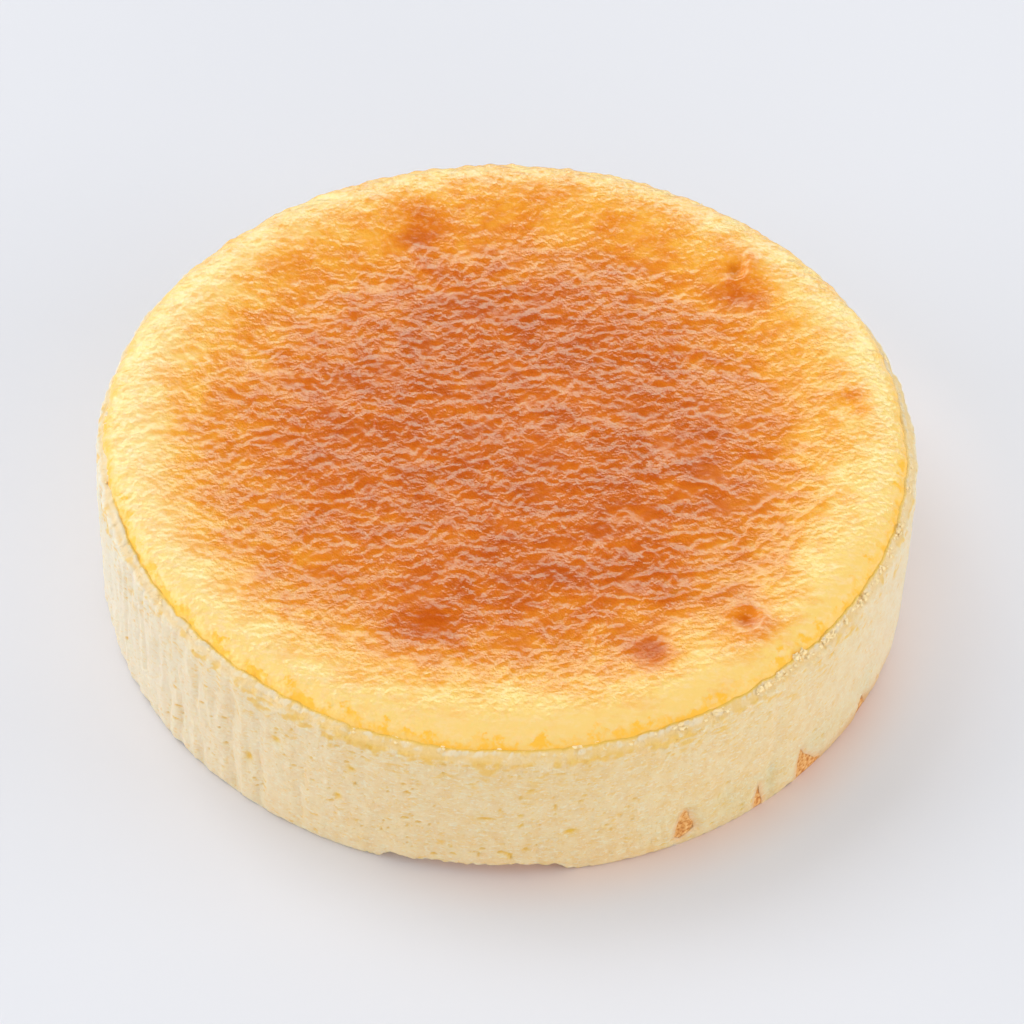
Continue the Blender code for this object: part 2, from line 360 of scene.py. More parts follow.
def rim_height(inset):
    """Height of the skin over the crease, at a distance in from the crease."""
    outer = np.clip(1 - inset / RIM_WIDTH, 0, 1)
    rise = RIM_RISE * (1 - outer**RIM_SQUARENESS) ** (1 / RIM_SQUARENESS)
    return rise - BASIN_DEPTH * ease(inset, RIM_WIDTH, RIM_WIDTH + BASIN_SLOPE)


def blister_height(x, y):
    """Height of the blisters and depth of the dents."""
    height = np.zeros_like(x)
    for centre_x, centre_y, radius, middle, ring, stretch in BLISTERS:
        away = np.hypot(x - centre_x, (y - centre_y) / stretch) / radius
        height += middle * bell(away / 0.55) + ring * bell((away - 1) / 0.4)
    return height


def single_folds(x, y):
    """The long folds, each a low ridge that wavers a little."""
    waver_x, waver_y = waver(x, y, 0.5, 1.8, seed=15)
    height = np.zeros_like(x)
    for rise, width, *corners in FOLDS:
        gap = nearest_on_line(x + waver_x, y + waver_y, corners)[0]
        height = np.maximum(height, rise * bell(gap / width))
    return height


def coarse_wrinkles(x, y, inset):
    """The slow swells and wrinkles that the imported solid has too."""
    flat = np.zeros_like(x)
    swell = blender_noise(np.stack((x, y, flat), 1) / SWELL_PITCH)
    across = np.stack((x / WRINKLE_STRETCH, y, flat + 10.0), 1) / WRINKLE_PITCH
    wrinkle = blender_noise(across)
    return ease(inset, *WRINKLE_FADE) * (SWELL_HEIGHT * swell + WRINKLE_HEIGHT * wrinkle)


def fine_wrinkles(x, y, inset):
    """Worm-like folds, lying across the cake or, to the right, along the rim."""
    radius = np.hypot(x, y)
    angle = np.arctan2(y, x)
    bend_x, bend_y = waver(x, y, 0.9, 5.0, seed=11)
    straight = wrinkle_set(x + bend_x, y - FOLD_SLANT * x + bend_y, seed=20)
    around = wrinkle_set(angle * FOLD_RADIUS + bend_x, radius + bend_y, seed=40)
    turned = ease(x, 28, 54) * ease(y, 30, -10)
    folds = straight * (1 - turned) + around * turned
    left = 0.5 - 0.5 * np.cos(angle - math.radians(325))
    near_rim = 0.45 * left * ease(inset, 0, 3)
    inside = (0.9 - 0.45 * left) * ease(inset, 5, 27)
    calm = 1 - 0.85 * nearness(x, y, CALM_PATCHES)
    return folds * (0.1 + near_rim + inside) * calm + single_folds(x, y)


def wrinkle_set(along, across, seed):
    """Folds in two sizes; the smaller ones lie in patches with calmer skin between."""
    wide, narrow = (
        height * lattice_noise(along / length, across / width, seed=seed + number)
        for number, (height, length, width) in enumerate(FINE_FOLDS)
    )
    return wide + narrow * liveliness(along, across)


def rim_bumps(x, y, inset):
    """Low bumps on the outer slope of the rim, at the back and the left."""
    behind = ease(y - 0.4 * x, -20, 30) * ease(inset, 5, 2)
    return behind * noise_layers(RIM_BUMPS, x, y)


def liveliness(x, y):
    """How wrinkled the skin is, patch by patch."""
    return 0.45 + 0.65 * ease(0.75 + 1.1 * lattice_noise(x / 5.5, y / 4.5, seed=31), 0, 1)


def rim_grain(angle, inset):
    """How strong the finest grain is: full inside, and weaker on the front's outer slope."""
    away = np.abs(degrees_from(300, angle))
    outer = 0.3 + 0.8 * ease(away, 25, 60)
    middle = 0.25 * ease(inset, 10, 22)
    return outer + (0.75 - outer) * ease(inset, 2.5, 8.5) + middle


def skin_rings():
    """Insets of the rings of the skin, evenly spaced along its slope from middle to crease."""
    reach = WALL_RADIUS - CREASE_INSET
    fine = np.linspace(0, 1, 20001) ** 2 * reach
    height = rim_height(fine)
    slope = np.concatenate(([0], np.cumsum(np.hypot(np.diff(fine), np.diff(height)))))
    places = slope[-1] * (1 - np.arange(SKIN_RINGS + 1) / SKIN_RINGS)
    return np.interp(places, slope, fine)


def ring_faces(count):
    """Triangles of a disc of rings, where ring number k has 6k points."""
    faces = []
    for ring in range(1, count + 1):
        start = 1 + 3 * ring * (ring - 1)
        inner_start = 1 + 3 * (ring - 1) * (ring - 2) if ring > 1 else 0
        inner_count = max(6 * (ring - 1), 1)
        for side in range(6):
            for step in range(ring):
                outer = start + side * ring + step
                after = start + (side * ring + step + 1) % (6 * ring)
                inner = inner_start + (side * (ring - 1) + step) % inner_count
                faces.append((inner, outer, after))
                if step < ring - 1:
                    inner_after = inner_start + (side * (ring - 1) + step + 1) % inner_count
                    faces.append((inner, after, inner_after))
    return faces


def browning(x, y, fold):
    """How far the skin has browned: about 0 at the yellow rim and 0.85 in the middle."""
    angle = np.arctan2(y, x)
    radius = np.hypot(x, y) + noise_layers(BROWN_WANDER, x, y)
    radius /= 1 + waves(BROWN_REACH, angle)
    level = np.interp(radius, *np.array(BROWN_FALL).T) + BROWN_FOLDS * fold
    right, back = BROWN_TILT
    level += (right * np.cos(angle) + back * np.sin(angle)) * ease(radius, 52, 64)
    for *patch, change in BROWN_PATCHES:
        level += change * oval(x, y, *patch)
    return level


def skin_marks(x, y, angle, inset, fold):
    """What the skin's material reads at every point: shares, and the inset."""
    grain = rim_grain(angle, inset)
    near_rim = ease(inset, 22, 8) * ease(inset, 0, 2)
    # Painted sheen: the outer rim on the left is painted paler, where the light falls on it; the pale
    # flake is the skin's own colour
    painted_left_sheen = bell(degrees_from(195, angle) / 50) * ease(inset, 14, 4)
    # Painted light: the front of the outer rim is painted a duller, less saturated yellow, for how the
    # light falls there
    painted_front_light = beside(274, 48, angle) * ease(inset, 9, 3)
    return {
        "browning": browning(x, y, fold),
        "inset": inset,
        # Painted glints: pale dashes near the rim, where the light glints on the wrinkles
        "fleck": 0.38 * grain * near_rim,
        "pale_flake_and_left_sheen": np.maximum(0.32 * painted_left_sheen, 0.9 * oval(x, y, *PALE_FLAKE)),
        "lively": liveliness(x, y) * grain * (1 - 0.7 * nearness(x, y, CALM_PATCHES)),
        "dry": nearness(x, y, DRY_SPOTS),
        # Painted shade: the deep orange line along the crease, weaker at the back
        "painted_crease_shade": 0.9 - 0.5 * ease(np.sin(angle), -0.2, 0.4),
        "front": 0.5 * painted_front_light,
    }


def tuck_skin(points, faces, angle, reach):
    """Adds the rings that are tucked in behind the ledge, and the flat underside."""
    count = len(angle)
    edge = points[-count:]
    ring = np.arange(len(points) - count, len(points))
    for drop, tuck in SKIN_TUCK:
        lower = edge * (1 - tuck / reach)
        lower[:, 2] = crease_height(angle) - drop
        points = np.concatenate((points, lower))
        faces += band_faces(ring + count, ring)
        ring += count
    faces.append(ring[::-1].tolist())
    return points


def add_skin(material):
    reach = WALL_RADIUS - CREASE_INSET
    counts = [1] + [6 * ring for ring in range(1, SKIN_RINGS + 1)]
    inset = np.repeat(skin_rings(), counts)
    angle = np.concatenate([2 * math.pi * np.arange(count) / count for count in counts])
    share = (reach - inset) / reach
    overhang = edge_wander(angle) + BACK_OVERHANG * ease(np.sin(angle - 0.25), -0.2, 0.3)
    radius = share * (outline(angle) - CREASE_INSET)
    radius += overhang * ease(inset, OVERHANG_REACH, 0)
    x, y = radius * np.cos(angle), radius * np.sin(angle)
    step = 0.01
    rise = rim_height(inset + step) - rim_height(np.maximum(inset - step, 0))
    steep = np.arctan(rise / (2 * step))
    relief = blister_height(x, y) + coarse_wrinkles(x, y, inset)
    fold = fine_wrinkles(x, y, inset) + rim_bumps(x, y, inset)
    height = crease_height(angle, share) + rim_height(inset)
    height += relief * ease(inset, 1, 3) + fold * np.cos(steep)
    points = on_rings(radius + fold * np.sin(steep), angle, height)
    faces = ring_faces(SKIN_RINGS)
    points = tuck_skin(points, faces, angle[-counts[-1] :], reach)
    marks = pad_marks(skin_marks(x, y, angle, inset, fold), len(points), "edge")
    return add_piece("crust_top", points, faces, material, marks)


# ---------------- side

SIDE_COLUMNS = 1080
SIDE_STEP = 0.43  # between the rows of points
LEDGE_FILL = 0.9  # how far the ledge slopes up to the skin
LEDGE_FROM = 0.9  # height share over which the profile is the ledge
RECESS_TOP = BASE_HEIGHT + FIT_GAP
THIN_EDGE = 0.25  # least thickness of the side over the sponge
WINDOW_EDGE = 1.9  # reach of the thinned edge round a window
WINDOW_TINT = 1.0  # reach of the browner edge round a window
PORE_DEPTH = 0.3
LEDGE_GRAIN = 0.22
LIP_RISE = 0.8  # of the torn lip on the ledge
LIP_SHARES = (0.9795, 0.004)  # its place and its reach, as shares of the radius
LIP_WANDER = ((0.003, 3.6, 1, 73), (0.003, 0.9, 1, 75))
LEDGE_TEARS = ((0.9, 2.2, 1 / 45, 70), (1.0, 0.8, 1 / 95, 71))  # upwards is the radius share
SIDE_CRUMB = ((0.10, 1.6, 1.3, 62), (0.09, 0.9, 0.8, 63))
SIDE_SPOTS = ((0.6, 5.0, 3.0, 68), (0.9, 1.8, 0.9, 69))
# Profile of the side, as radius and height shares, from the foot up and over the ledge
SIDE_PROFILE = (
    (0.9925, 0.0), (0.9985, 0.02), (1.001, 0.09), (1.0, 0.23), (1.0, 0.88), (0.9985, 0.965),
    (0.9945, 0.994), (0.987, 1.001), (0.980, 1.001), (0.9745, 1.004), (0.970, 1.005),
    (0.965, 1.003), (0.960, 0.998), (0.957, 0.93),
)
# Angle and height of the foot over the ground, where it lifts
FOOT_RAISED = (
    (253.0, 0.0), (254.5, 0.6), (256.0, 2.3), (259.0, 1.7), (263.0, 2.1), (268.0, 2.3),
    (271.5, 2.7), (273.0, 3.1), (276.0, 2.5), (279.2, 1.9), (279.8, 0.8), (281.2, 0.2),
    (283.0, 0.0),
)
FOOT_EASE = 8.0  # height over which the side takes up the lift of its foot
# Angle, depth and width of the deeper upright creases
SIDE_CREASES = (
    (220.6, 0.5, 1.2), (225.0, 0.5, 1.1), (231.2, 1.0, 1.4), (235.9, 0.7, 1.2), (242.5, 0.5, 1.2),
    (311.0, 0.4, 1.3),
)
SIDE_PITS = (  # angle, height, reach round the side, reach upwards and depth of the bigger pores
    (248.5, 14.2, 0.7, 0.8, 1.3),
    (280.2, 11.3, 1.1, 0.6, 1.5),
    (268.9, 15.8, 1.6, 0.3, 1.2),
    (234.2, 12.8, 0.6, 1.1, 1.2),
    (250.5, 22.7, 0.9, 0.6, 1.2),
    (239.0, 22.0, 1.0, 0.7, 1.1),
    (263.0, 8.0, 0.7, 0.5, 1.0),
)
# Windows in the foot that show the sponge: outlines as angle and height
WINDOWS = (
    (
        (296.5, 9.4), (296.0, 8.2), (295.7, 6.6), (295.4, 4.6), (295.3, 2.3), (296.1, 1.6),
        (297.2, 2.5), (298.2, 3.4), (298.0, 5.2), (297.4, 6.6), (297.2, 8.3),
    ),
    (
        (308.8, 6.5), (308.4, 3.5), (308.3, 1.1), (308.4, -1.0), (309.7, -1.0), (309.8, 1.3),
        (309.2, 3.6),
    ),
    (
        (316.8, 8.2), (316.4, 4.6), (316.5, -1.0), (320.4, -1.0), (321.8, 0.8), (320.3, 1.7),
        (319.0, 4.0), (317.7, 5.9),
    ),
    (
        (332.8, 4.0), (331.4, 1.8), (331.0, -1.0), (333.6, -1.0), (334.0, 0.2), (333.3, 2.2),
    ),
)


def side_profile():
    """The profile as evenly spaced radius and height shares, with its corners rounded."""
    points = np.array(SIDE_PROFILE)
    for _ in range(2):
        near = points[:-1] * 0.75 + points[1:] * 0.25
        far = points[:-1] * 0.25 + points[1:] * 0.75
        cut = np.stack((near, far), 1).reshape(-1, 2)
        points = np.concatenate((points[:1], cut, points[-1:]))
    sizes = np.diff(points, axis=0) * (WALL_RADIUS, WALL_HEIGHT)
    along = np.concatenate(([0], np.cumsum(np.hypot(*sizes.T))))
    places = np.linspace(0, along[-1], round(along[-1] / SIDE_STEP) + 1)
    return np.stack([np.interp(places, along, column) for column in points.T], 1)


def ledge_rise(radius_share):
    """How far the ledge slopes up towards the skin."""
    return LEDGE_FILL * ease(radius_share, 0.9905, 0.9725)


def foot_lift(angle):
    """How far the side's ragged foot stands off the ground."""
    degrees = np.degrees(angle) % 360
    places, lifts = np.array(FOOT_RAISED).T
    lift = np.interp(degrees, places, lifts)
    ragged = 0.45 * lattice_noise(degrees / 1.1, 0.0, seed=50)
    ragged += 0.35 * lattice_noise(degrees / 0.55, 0.0, seed=51)
    return np.maximum(lift + ragged * (0.9 + 0.1 * ease(lift, 0, 1)), 0)


def side_relief(angle, height):
    """How far the side stands out, and how deep its pores are, at arrays of places."""
    x, y = wall_place(angle)
    left = beside(208, 48, angle)
    ripple = 0.3 * lattice_noise(x / 6, y / 6, height / 30, seed=60)
    crests = 1 - 3.2 * np.abs(lattice_noise(x / 2.6, y / 2.6, height / 18, seed=61))
    upright = (0.06 + 0.26 * left) * crests
    streak = (0.07 + 0.16 * left) * lattice_noise(x / 1.2, y / 1.2, height / 7, seed=66)
    relief = ripple + upright + streak + noise_layers(SIDE_CRUMB, x, y, height)
    shallow = 1 - 0.7 * ease(height, 24, 30)
    for place, depth, width in SIDE_CREASES:
        wander = 1.2 * lattice_noise(height / 7, place, seed=67)
        relief -= depth * shallow * bell((arc_from(place, angle) + wander) / width)
    field = lattice_noise(x / 1.4, y / 1.4, height / 0.8, seed=64)
    patch = lattice_noise(x / 9, y / 9, height / 7, seed=65)
    front = 0.12 * beside(262, 60, angle)
    pore = ease(field + 0.25 * patch + front, 0.58, 0.78)
    for place, level, wide, tall, depth in SIDE_PITS:
        pore = np.maximum(pore, depth * oval(arc_from(place, angle), height, 0, level, wide, tall))
    relief -= PORE_DEPTH * pore
    return relief, pore


def ledge_spots(angle, height):
    """Yellower spots where the skin's colour has run into the top of the side."""
    field = noise_layers(SIDE_SPOTS, *wall_place(angle), height)
    field += 0.6 * ease(height, 28, 31) * beside(262, 40, angle)
    return ease(height, 20, 30) * ease(field, 0.2, 0.5)


def in_window(window, degrees, height):
    """Whether places lie inside a window."""
    inside = np.zeros(np.shape(degrees), bool)
    for (start_x, start_y), (end_x, end_y) in itertools.pairwise(window + window[:1]):
        crosses = (start_y > height) != (end_y > height)
        run = (height - start_y) / (end_y - start_y or 1)
        inside ^= crosses & (degrees < start_x + run * (end_x - start_x))
    return inside


def window_line(window):
    """A window's closed outline, with its angles as distances round the wall."""
    return [(degrees * DEGREE_ARC, height) for degrees, height in window + window[:1]]


def window_distance(angle, height):
    """Distance along the side from every place to the nearest window outline."""
    across = np.degrees(angle) % 360 * DEGREE_ARC
    gaps = [nearest_on_line(across, height, window_line(window))[0] for window in WINDOWS]
    return np.min(gaps, axis=0)


def side_grid():
    """Angle, height and profile row of every point of the outer side, and the profile."""
    profile = side_profile()
    angle = 2 * math.pi * np.arange(SIDE_COLUMNS) / SIDE_COLUMNS
    angle, row = np.meshgrid(angle, np.arange(len(profile)))
    height = profile[row, 1] * crease_height(angle)
    height += foot_lift(angle) * np.clip(1 - height / FOOT_EASE, 0, 1) ** 2
    return angle, height, row, profile


def cut_windows(angle, height):
    """Cells of the grid that the windows take away; their edges are moved onto the outlines."""
    degrees = np.degrees(angle) % 360
    middle_angle = (degrees[:-1, :-1] + degrees[1:, 1:]) / 2
    middle_height = (height[:-1, :-1] + height[1:, 1:]) / 2
    open_cells = np.zeros(middle_angle.shape, bool)
    for window in WINDOWS:
        cells = in_window(window, middle_angle, middle_height)
        open_cells |= cells
        count = np.zeros(angle.shape, int)
        for low, side in itertools.product((0, 1), repeat=2):
            count[low : low + cells.shape[0], side : side + cells.shape[1]] += cells
        edge = (count > 0) & (count < 4)
        across = degrees[edge] * DEGREE_ARC
        _, across, level = nearest_on_line(across, height[edge], window_line(window))
        angle[edge] = np.radians(across / DEGREE_ARC)
        foot = height[0].copy()
        height[edge] = level
        height[0] = foot
    return open_cells


def torn_lip(angle, radius_share):
    """How near every place is to the lip on the ledge, and how torn the ledge is there."""
    x, y = wall_place(angle)
    place, reach = LIP_SHARES
    lip = bell((radius_share - place - noise_layers(LIP_WANDER, x, y)) / reach)
    torn = noise_layers(LEDGE_TEARS, x, y, radius_share) + 0.9 * lattice_noise(x / 8, y / 8, seed=74)
    return lip, torn


def profile_normal(profile, row):
    """Outward and upward part of the profile's normal at every point's row."""
    tangent = np.gradient(profile * (WALL_RADIUS, WALL_HEIGHT), axis=0)
    tangent /= np.hypot(*tangent.T)[:, None]
    return tangent[:, 1][row], -tangent[:, 0][row]


def recess_wall(angle, height):
    """Points of the wall that faces the sponge, from the foot up to the recess's top."""
    depth = int(np.argmax(height.min(1) > RECESS_TOP - 0.2))
    level = np.concatenate((height[:depth], np.full((1, SIDE_COLUMNS), RECESS_TOP)))
    angle = np.concatenate((angle[:depth], angle[-1:]))
    return on_rings(base_radius(angle) + FIT_GAP, angle, level)


def side_marks(angle, height, radius_share, on_ledge, torn, window_gap):
    """What the side's material reads besides pores and flakes, as shares."""
    back = ease(np.sin(angle), -0.35, 0.35)
    inner_ledge = ease(radius_share, 0.9965, 0.9885) * on_ledge
    painted_crease_band = ease(radius_share - 0.003 * torn, 0.976, 0.974) * on_ledge
    thin_foot = bell((np.degrees(angle) % 360 - 331) / 11) * ease(height, 5, 1.5)
    return {
        "thin": np.maximum(thin_foot, 0.5 * ease(window_gap, WINDOW_TINT, 0)),
        "spots": ledge_spots(angle, height),
        # Painted light: the shaded inner ledge is painted paler, more so at the back where the light
        # falls on it
        "ledge": (0.6 + 0.4 * back) * inner_ledge,
        # Painted shade: an orange band where the side meets the skin, on the front half
        "edge": (1 - back) * painted_crease_band,
        "dense": np.maximum(inner_ledge, ease(window_gap, WINDOW_EDGE, 0)),
        # Painted light: the side is painted paler on the left and on the right, where more light falls
        "pale": beside(184, 68, angle) + 0.5 * beside(350, 34, angle),
    }


def add_side(material):
    angle, height, row, profile = side_grid()
    open_cells = cut_windows(angle, height)
    radius_share, height_share = profile[row, 0], profile[row, 1]
    on_ledge = height_share > LEDGE_FROM
    shown = ease(radius_share, 0.966, 0.972)
    relief, pore = side_relief(angle, height)
    relief *= shown * ease(row, 0, 3)
    lip, torn = torn_lip(angle, radius_share)
    lip *= on_ledge
    relief += LIP_RISE * lip * np.clip(torn - 0.05, 0, 1.1)
    flake = lip * np.clip(torn + 0.35 + 0.5 * beside(228, 30, angle), 0, 1.1)
    x, y = wall_place(angle)
    grain = lattice_noise(x / 1.2, y / 1.2, radius_share * 60, seed=72)
    relief += LEDGE_GRAIN * on_ledge * shown * grain
    out, up = profile_normal(profile, row)
    height = height + on_ledge * ledge_rise(radius_share)
    radius = radius_share * outline(angle) + relief * out
    radius += edge_wander(angle) * ease(height_share, LEDGE_FROM, 1) * (radius_share > 0.96)
    window_gap = window_distance(angle, height)
    least = base_radius(angle) + FIT_GAP + THIN_EDGE
    radius -= ease(window_gap, WINDOW_EDGE, 0) * np.maximum(radius - least, 0)
    wall_foot = height < RECESS_TOP + 0.4
    radius = np.where(wall_foot, np.maximum(radius, least), radius)
    outer = on_rings(radius, angle, height + relief * up)
    inner = recess_wall(angle, height)
    points, number_outer, number_inner = number_points(outer, inner, open_cells)
    faces = side_faces(number_outer, number_inner, open_cells)
    marks = {"pore": pore, "flake": flake}
    marks |= side_marks(angle, height, radius_share, on_ledge, torn, window_gap)
    marks = pad_marks(marks, len(points), "constant")
    piece = add_piece("cheese_side", points, faces, material, marks, ["cheesecake"])
    piece.data.set_sharp_from_angle(angle=math.radians(60))
    return piece


def number_points(outer, inner, open_cells):
    """Lists the points: all outer ones, and the inner ones that the faces will use."""
    number_outer = np.arange(outer.shape[0] * SIDE_COLUMNS).reshape(-1, SIDE_COLUMNS)
    cut = np.zeros(SIDE_COLUMNS, bool)
    opened = np.nonzero(open_cells.any(0))[0]
    for shift in (-1, 0, 1, 2):
        cut[(opened + shift) % SIDE_COLUMNS] = True
    used = np.tile(cut, (inner.shape[0], 1))
    used[0] = True
    used[-1] = True
    number_inner = np.full(used.shape, -1)
    number_inner[used] = number_outer.size + np.arange(used.sum())
    points = np.concatenate((outer.reshape(-1, 3), inner[used]))
    return points, number_outer, number_inner


def side_faces(outer, inner, open_cells):
    """Faces of the side, of the recess behind it and of the edges of the windows."""
    is_open = np.zeros(outer.shape, bool)
    is_open[: open_cells.shape[0], : open_cells.shape[1]] = open_cells
    faces = band_faces(inner[0], outer[0], ~is_open[0])
    for row, (low, high) in enumerate(itertools.pairwise(outer)):
        faces += band_faces(low, high, ~is_open[row])
    whole = (inner >= 0).all(0)
    whole &= np.roll(whole, -1)
    for row, (high, low) in enumerate(itertools.pairwise(inner)):
        faces += band_faces(low, high, whole & ~is_open[row])
    for column in np.nonzero(~whole)[0]:
        strip = (*inner[:, column], *inner[::-1, (column + 1) % SIDE_COLUMNS])
        faces.append([corner for corner in strip if corner >= 0])
    for row, column in zip(*np.nonzero(open_cells)):
        after = column + 1
        edges = (
            (is_open[row, column - 1], (row + 1, column), (row, column)),
            (is_open[row, after], (row, after), (row + 1, after)),
            (is_open[row + 1, column], (row + 1, after), (row + 1, column)),
            (row == 0 or is_open[row - 1, column], (row, column), (row, after)),
        )
        for joined, start, end in edges:
            if not joined:
                faces.append((outer[start], outer[end], inner[end], inner[start]))
    faces += [inner[-1, ::-1], outer[-1]]
    return [tuple(int(corner) for corner in face) for face in faces]


# ---------------- crumbs on the torn edge

CRUMB_COUNT = 420
CRUMB_RING = (73.0, 73.9)  # radii between which the crumbs lie
# Torn flakes on the edge: angle, radius, length along the edge, rise, number of lumps
FLAKES = (
    (308.6, 73.6, 2.2, 1.1, 6),
    (316.0, 72.7, 2.4, 1.6, 7),
    (312.0, 73.2, 1.6, 0.8, 4),
    (321.5, 73.3, 2.0, 0.8, 5),
    (330.0, 73.5, 2.2, 0.8, 5),
    (344.5, 73.3, 1.8, 0.9, 5),
    (352.6, 73.5, 1.6, 0.8, 4),
    (19.1, 73.8, 1.8, 1.4, 6),
    (61.0, 72.8, 1.8, 1.2, 5),
    (70.0, 71.5, 2.4, 0.8, 5),
    (108.2, 71.2, 2.0, 1.0, 5),
    (284.1, 72.3, 1.6, 0.9, 4),
    (208.4, 71.6, 1.4, 0.8, 3),
    (295.0, 73.4, 1.8, 0.7, 4),
    (301.0, 73.5, 1.8, 0.7, 4),
    (256.4, 72.6, 1.4, 0.5, 3),
    (263.2, 72.7, 1.2, 0.5, 3),
    (270.2, 72.7, 1.6, 0.7, 4),
    (274.6, 72.8, 1.2, 0.5, 3),
    (280.8, 72.8, 1.6, 0.6, 4),
)


def crumb_places():
    """Angle, radius and three half sizes of every lump, in the same order every time."""
    chance = np.random.default_rng(11)
    places = []
    for degrees, radius, length, rise, lumps in FLAKES:
        for _ in range(lumps):
            along = chance.uniform(-0.5, 0.5) * length
            size = chance.uniform(0.25, 0.5)
            sizes = (size * 1.3, size * 0.8, rise * chance.uniform(0.3, 0.7))
            place = degrees + math.degrees(along / radius)
            places.append((place, radius + chance.normal(0, 0.2), sizes))
    for _ in range(CRUMB_COUNT):
        anywhere, right, back = chance.uniform(0, 360), chance.normal(325, 25), chance.normal(70, 35)
        place = chance.choice((anywhere, right, back))
        size = 0.12 + 0.2 * chance.random() ** 2
        places.append((place, chance.uniform(*CRUMB_RING), (size * 1.6, size * 1.1, size * 0.9)))
    return places


def ball():
    """Points and faces of a small round ball."""
    shape = bmesh.new()
    bmesh.ops.create_icosphere(shape, subdivisions=2, radius=1.0)
    points = np.array([corner.co for corner in shape.verts])
    faces = [tuple(corner.index for corner in face.verts) for face in shape.faces]
    shape.free()
    return points, faces


def add_crumbs(material):
    """Lumpy balls on the ledge, sized along the edge, outwards and upwards."""
    round_points, round_faces = ball()
    points, faces = [], []
    for number, (degrees, radius, sizes) in enumerate(crumb_places()):
        angle = math.radians(degrees)
        lumpy = 1 + 1.1 * lattice_noise(*(round_points.T * 1.8 + number * 7.1), seed=90)
        shape = round_points * lumpy[:, None] * sizes
        outwards = np.array((math.cos(angle), math.sin(angle), 0))
        along = np.array((-math.sin(angle), math.cos(angle), 0))
        level = crease_height(angle) + ledge_rise(radius / WALL_RADIUS) + 0.15 * sizes[2]
        centre = (radius + edge_wander(angle)) * outwards + (0, 0, level)
        placed = centre + shape[:, :1] * along + shape[:, 1:2] * outwards + shape[:, 2:] * (0, 0, 1)
        start = len(points) * len(round_points)
        points.append(placed)
        faces += [tuple(start + corner for corner in reversed(face)) for face in round_faces]
    points = np.concatenate(points)
    return add_piece("rim_crumbs", points, faces, material, {})


# ---------------- sponge

SPONGE_COLUMNS = 1400
SPONGE_ROWS = 26
SPONGE_SHOWN = 0.62  # how far the sponge stands forward inside a window
SPONGE_CRUMB = ((0.3, 1.3, 1.3, 80), (0.2, 0.7, 0.7, 81))
CRUMB_LIMIT = 0.2  # highest crumb on the sponge's edge


def add_sponge(material):
    angle = 2 * math.pi * np.arange(SPONGE_COLUMNS) / SPONGE_COLUMNS
    angle, share = np.meshgrid(angle, np.linspace(0, 1, SPONGE_ROWS))
    radius = base_radius(angle)
    height = share * BASE_HEIGHT
    x, y = radius * np.cos(angle), radius * np.sin(angle)
    crumb = np.minimum(noise_layers(SPONGE_CRUMB, x, y, height), CRUMB_LIMIT)
    inside = sum(in_window(window, np.degrees(angle), height) for window in WINDOWS)
    forward = np.maximum(inside, ease(window_distance(angle, height), 0.5, 0))
    radius += crumb * np.sin(share * math.pi) - CRUMB_LIMIT + SPONGE_SHOWN * forward
    points = on_rings(radius, angle, height).reshape(-1, 3)
    numbers = np.arange(angle.size).reshape(angle.shape)
    faces = []
    for low, high in itertools.pairwise(numbers):
        faces += band_faces(low, high)
    faces += [numbers[0, ::-1].tolist(), numbers[-1].tolist()]
    return add_piece("sponge_layer", points, faces, material, {}, ["sponge_base"])


# ---------------- materials


def colour(red, green, blue):
    """A display colour, 0 to 255, as the linear values that shaders take."""
    return tuple(
        part / 255 / 12.92 if part <= 10 else ((part / 255 + 0.055) / 1.055) ** 2.4
        for part in (red, green, blue)
    ) + (1.0,)


